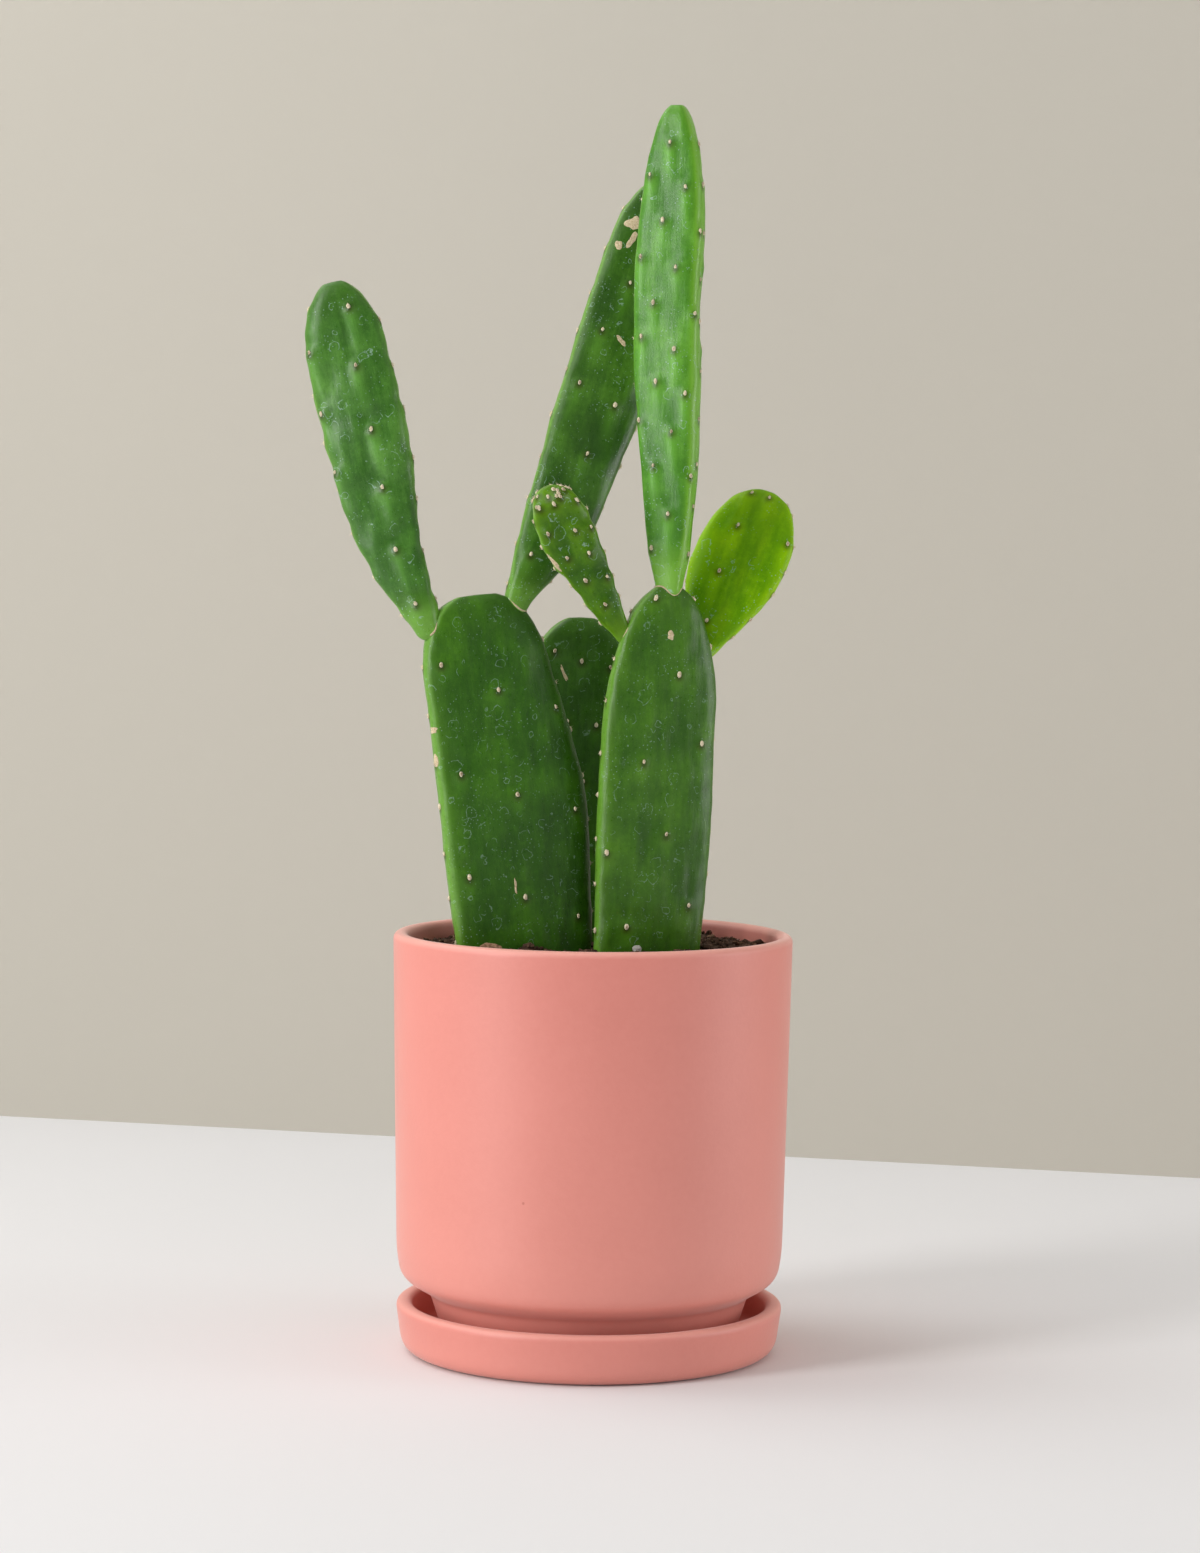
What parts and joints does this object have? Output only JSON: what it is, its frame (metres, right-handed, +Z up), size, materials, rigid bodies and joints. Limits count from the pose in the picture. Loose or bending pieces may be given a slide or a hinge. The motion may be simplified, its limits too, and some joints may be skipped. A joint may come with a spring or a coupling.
{
  "type": "potted paddle cactus",
  "caption": "Branching paddle cactus with flat oval pads, rooted in soil in a round glazed pot that rests on its saucer.",
  "frame": {"origin": "centre of the saucer's flat underside, on the pot's axis", "axes": "+Z up along the pot's axis, -Y towards the front of the plant, +X to its right seen from the front"},
  "size_m": [0.163, 0.133, 0.4124],
  "materials": {
    "glazed_saucer": "satin",
    "glazed_pot": "satin",
    "potting_soil": "matte",
    "mature_pad_skin": "satin",
    "upper_pad_skin": "satin",
    "young_pad_skin": "satin",
    "root_bark": "matte",
    "dry_bark": "matte",
    "perlite": "matte"
  },
  "bodies": {
    "root": {"saucer": "glazed_saucer", "pot": "glazed_pot", "soil": "potting_soil", "lower_left_pad": "mature_pad_skin", "lower_right_pad": "mature_pad_skin", "back_pad": "mature_pad_skin", "upper_left_pad": "upper_pad_skin", "leaning_pad": "upper_pad_skin", "tall_pad": "upper_pad_skin", "small_pad": "upper_pad_skin", "young_pad": "young_pad_skin", "lower_left_roots": "root_bark", "lower_right_roots": "root_bark", "back_roots": "root_bark", "bark_chip": "dry_bark", "perlite_grain": "perlite"}
  },
  "joints": []
}
